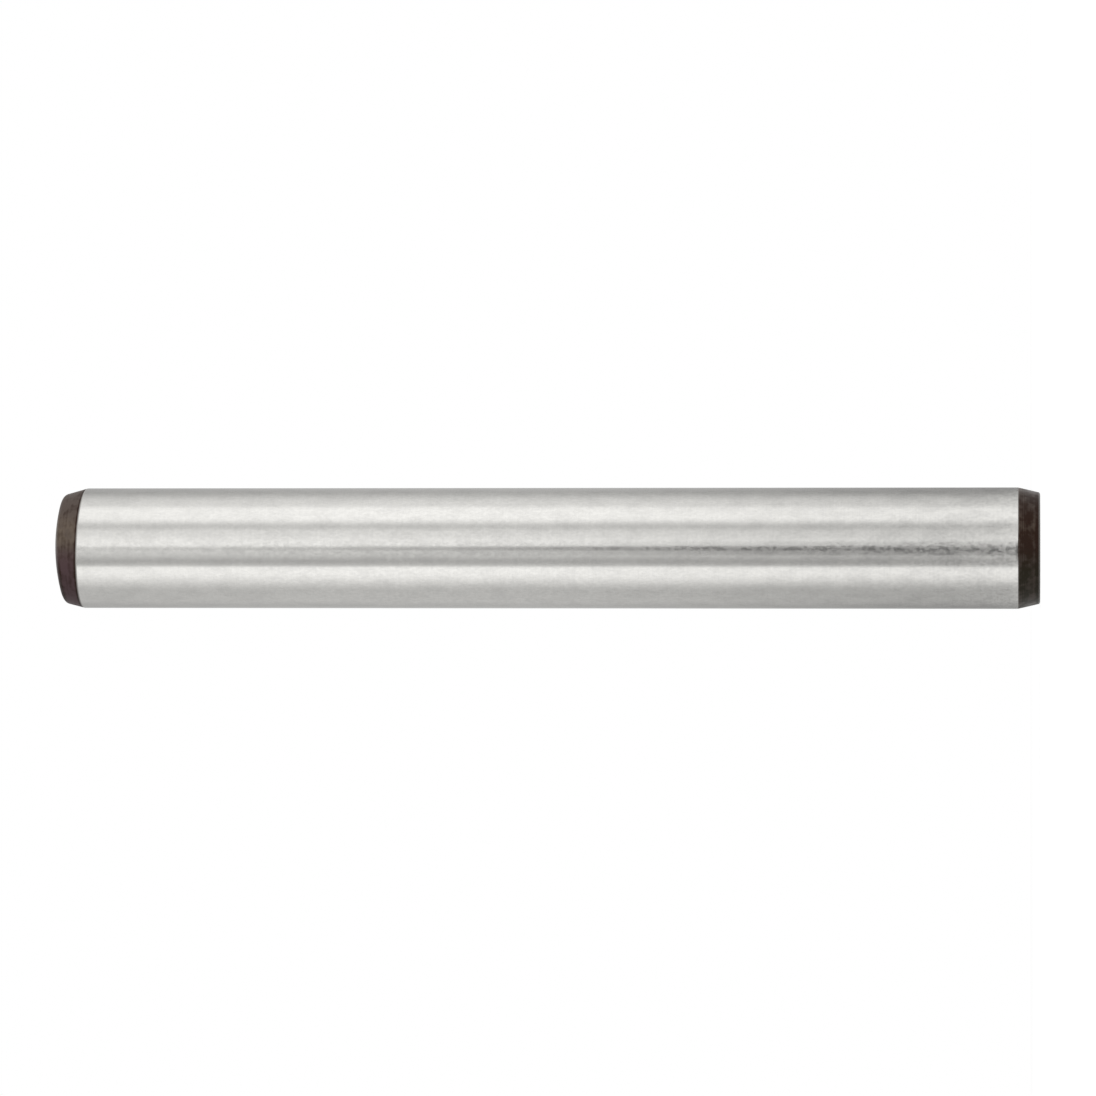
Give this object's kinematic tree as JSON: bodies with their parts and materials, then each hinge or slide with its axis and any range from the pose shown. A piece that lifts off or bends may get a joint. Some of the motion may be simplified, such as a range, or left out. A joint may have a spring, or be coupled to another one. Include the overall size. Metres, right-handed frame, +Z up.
{
  "type": "dowel pin",
  "caption": "Hardened, ground cylindrical steel pin with tapered lead-ins, a crowned end and a flat end. It is pressed into reamed holes to locate mating parts.",
  "frame": {"origin": "middle of the flat end face, on which the pin stands", "axes": "+Z up the pin's axis, towards the crowned end; the pin is round, so X and Y are free"},
  "size_m": [0.008, 0.008, 0.0656],
  "materials": {
    "hardened_steel": "centreless-ground bright shank, with dark brown-black heat scale left on both lead-ins and end faces"
  },
  "bodies": {
    "root": {"dowel_pin": "hardened_steel"}
  },
  "joints": []
}
